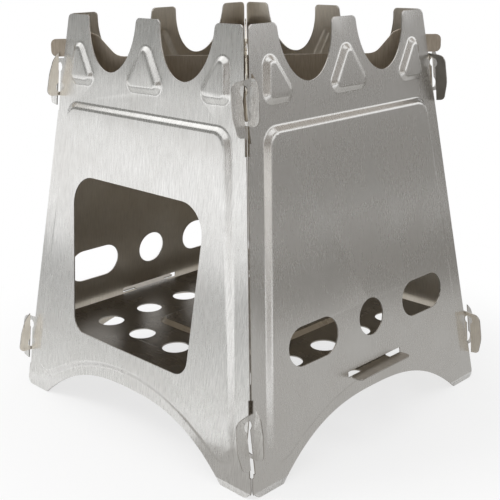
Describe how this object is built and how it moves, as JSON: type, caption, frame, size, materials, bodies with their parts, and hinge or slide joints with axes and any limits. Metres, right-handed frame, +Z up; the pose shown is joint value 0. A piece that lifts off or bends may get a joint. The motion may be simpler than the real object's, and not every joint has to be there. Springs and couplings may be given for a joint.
{
  "type": "folding pocket stove",
  "caption": "Folding wood stove of pressed steel sheets that hook together at the corners, with a perforated floor plate, a fuel window and crossbars for a pot.",
  "frame": {"origin": "on the ground, in the middle of the four walls", "axes": "+Z up; the wall with the fuel window faces -Y; +X to its right seen from in front"},
  "size_m": [0.1534, 0.1534, 0.165],
  "materials": {
    "front_steel": "bright stainless sheet, brushed upwards",
    "side_steel": "stainless sheet, satin, brushed upwards",
    "floor_steel": "stainless sheet, satin",
    "bar_steel": "stainless strip, brushed along its length"
  },
  "bodies": {
    "front_wall": {"front_wall": "front_steel"},
    "right_wall": {"right_wall": "side_steel"},
    "back_wall": {"back_wall": "side_steel"},
    "left_wall": {"left_wall": "side_steel"},
    "floor_plate": {"floor_plate": "floor_steel"},
    "crossbar_lower": {"crossbar_lower": "bar_steel"},
    "crossbar_upper": {"crossbar_upper": "bar_steel"}
  },
  "joints": [
    {"name": "right_wall_lift", "type": "slide", "parent": "front_wall", "child": "right_wall", "axis": [0, 0, 1], "range_m": [0, 0.0057]},
    {"name": "left_wall_lift", "type": "slide", "parent": "front_wall", "child": "left_wall", "axis": [0, 0, 1], "range_m": [0, 0.0057]},
    {"name": "floor_plate_lift", "type": "slide", "parent": "front_wall", "child": "floor_plate", "axis": [0, 0, 1], "range_m": [0, 0.0057]},
    {"name": "back_wall_lift", "type": "slide", "parent": "right_wall", "child": "back_wall", "axis": [0, 0, 1], "range_m": [0, 0.0057]},
    {"name": "crossbar_lower_lift", "type": "slide", "parent": "back_wall", "child": "crossbar_lower", "axis": [0, 0, 1], "range_m": [0, 0.04]},
    {"name": "crossbar_upper_lift", "type": "slide", "parent": "crossbar_lower", "child": "crossbar_upper", "axis": [0, 0, 1], "range_m": [0, 0.02]}
  ],
  "couplings": [
    {"joint": "left_wall_lift", "follows": "right_wall_lift", "ratio": 1},
    {"joint": "floor_plate_lift", "follows": "right_wall_lift", "ratio": 1}
  ]
}
